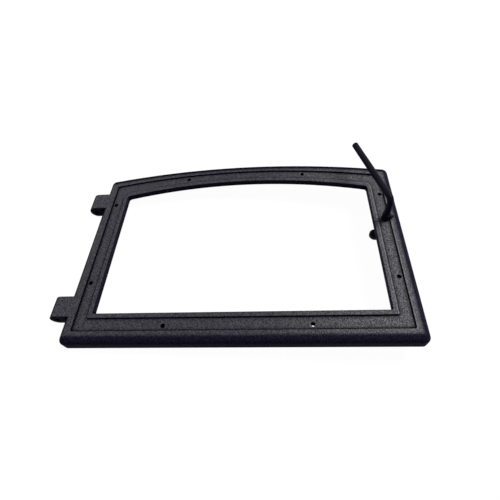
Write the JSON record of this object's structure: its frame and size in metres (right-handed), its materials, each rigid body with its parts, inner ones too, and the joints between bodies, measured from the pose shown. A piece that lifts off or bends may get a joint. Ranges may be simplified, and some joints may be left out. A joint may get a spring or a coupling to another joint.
{
  "type": "stove door",
  "caption": "Cast iron stove door frame with an arched top, open window, hinge lugs on one side and a bent rod handle that turns a rear latch tongue.",
  "frame": {"origin": "on the hinge line, at the lower mouth of the lower hinge bore", "axes": "+X across the door from the hinge side to the handle side, +Y up along the hinge line, +Z out of the door's front face"},
  "size_m": [0.5245, 0.3329, 0.0992],
  "materials": {
    "cast_iron": "charcoal satin, fine sand-cast grain",
    "handle_black": "black satin",
    "latch_iron": "black, matt",
    "fastener_black": "black oxide"
  },
  "bodies": {
    "door": {"door_frame": "cast_iron"},
    "handle": {"handle_rod": "handle_black", "handle_collar": "handle_black", "collar_screw": "fastener_black", "thrust_washer": "fastener_black", "latch_tongue": "latch_iron", "latch_washer": "fastener_black", "latch_nut": "fastener_black"}
  },
  "joints": [
    {"name": "handle_turn", "type": "hinge", "parent": "door", "child": "handle", "pos_m": [0.4899, 0.1593, 0], "axis": [0, 0, 1], "continuous": true}
  ]
}
